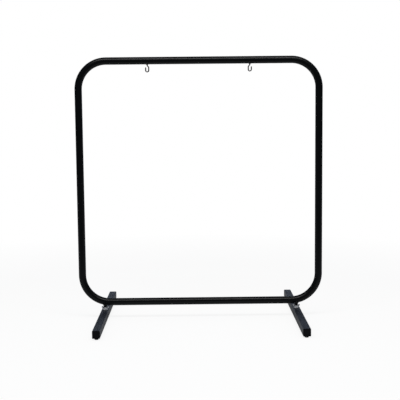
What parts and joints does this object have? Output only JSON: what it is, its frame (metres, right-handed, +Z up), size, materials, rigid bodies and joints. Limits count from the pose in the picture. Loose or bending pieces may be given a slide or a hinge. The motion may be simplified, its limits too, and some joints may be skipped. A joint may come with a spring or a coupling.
{
  "type": "gong stand",
  "caption": "Free-standing square loop of bent black tube with hooks under its top rail, on swivelling square foot bars locked by wing nuts.",
  "frame": {"origin": "on the floor, under the middle of the loop", "axes": "+X to the right along the top rail, -Y to the front along the foot bars, +Z up"},
  "size_m": [1.067, 0.768, 1.1367],
  "materials": {
    "frame_paint": "semi-gloss black powder coat, fine orange peel",
    "foot_paint": "semi-gloss black powder coat, a little smoother than the loop",
    "black_steel": "black-coated steel wire and screws",
    "zinc_plate": "bright zinc plate",
    "plain_steel": "plain steel, inside the tubes",
    "cap_plastic": "moulded black plastic",
    "pad_rubber": "moulded black rubber"
  },
  "bodies": {
    "loop": {"frame_upper": "frame_paint", "frame_lower": "frame_paint", "frame_sleeve_left": "plain_steel", "frame_sleeve_right": "plain_steel", "sleeve_screw_left_upper": "black_steel", "sleeve_screw_left_lower": "black_steel", "sleeve_screw_right_upper": "black_steel", "sleeve_screw_right_lower": "black_steel", "hook_insert_left": "black_steel", "hook_insert_right": "black_steel", "frame_post_left": "frame_paint", "frame_post_right": "frame_paint", "stud_left": "zinc_plate", "stud_right": "zinc_plate"},
    "hook_left": {"hook_left": "black_steel"},
    "hook_right": {"hook_right": "black_steel"},
    "wing_nut_left": {"wing_nut_left": "zinc_plate"},
    "wing_nut_right": {"wing_nut_right": "zinc_plate"},
    "foot_left": {"foot_left": "foot_paint", "foot_bush_left": "plain_steel", "washer_left": "zinc_plate", "end_cap_left_front": "cap_plastic", "end_cap_left_rear": "cap_plastic", "floor_pad_left_front": "pad_rubber", "floor_pad_left_rear": "pad_rubber", "pad_screw_left_front": "zinc_plate", "pad_screw_left_rear": "zinc_plate"},
    "foot_right": {"foot_right": "foot_paint", "foot_bush_right": "plain_steel", "washer_right": "zinc_plate", "end_cap_right_front": "cap_plastic", "end_cap_right_rear": "cap_plastic", "floor_pad_right_front": "pad_rubber", "floor_pad_right_rear": "pad_rubber", "pad_screw_right_front": "zinc_plate", "pad_screw_right_rear": "zinc_plate"}
  },
  "joints": [
    {"name": "foot_left_swivel", "type": "hinge", "parent": "loop", "child": "foot_left", "pos_m": [-0.421, 0, 0.03875], "axis": [0, 0, 1], "range_deg": [-90, 90]},
    {"name": "foot_right_swivel", "type": "hinge", "parent": "loop", "child": "foot_right", "pos_m": [0.421, 0, 0.03875], "axis": [0, 0, 1], "range_deg": [-90, 90]},
    {"name": "wing_nut_left_turn", "type": "hinge", "parent": "loop", "child": "wing_nut_left", "pos_m": [-0.421, 0, 0.04065], "axis": [0, 0, 1], "continuous": true},
    {"name": "wing_nut_right_turn", "type": "hinge", "parent": "loop", "child": "wing_nut_right", "pos_m": [0.421, 0, 0.04065], "axis": [0, 0, 1], "continuous": true},
    {"name": "hook_left_turn", "type": "hinge", "parent": "loop", "child": "hook_left", "pos_m": [-0.22, 0, 1.105], "axis": [0, 0, 1], "range_deg": [-90, 90]},
    {"name": "hook_right_turn", "type": "hinge", "parent": "loop", "child": "hook_right", "pos_m": [0.22, 0, 1.105], "axis": [0, 0, 1], "range_deg": [-90, 90]}
  ]
}
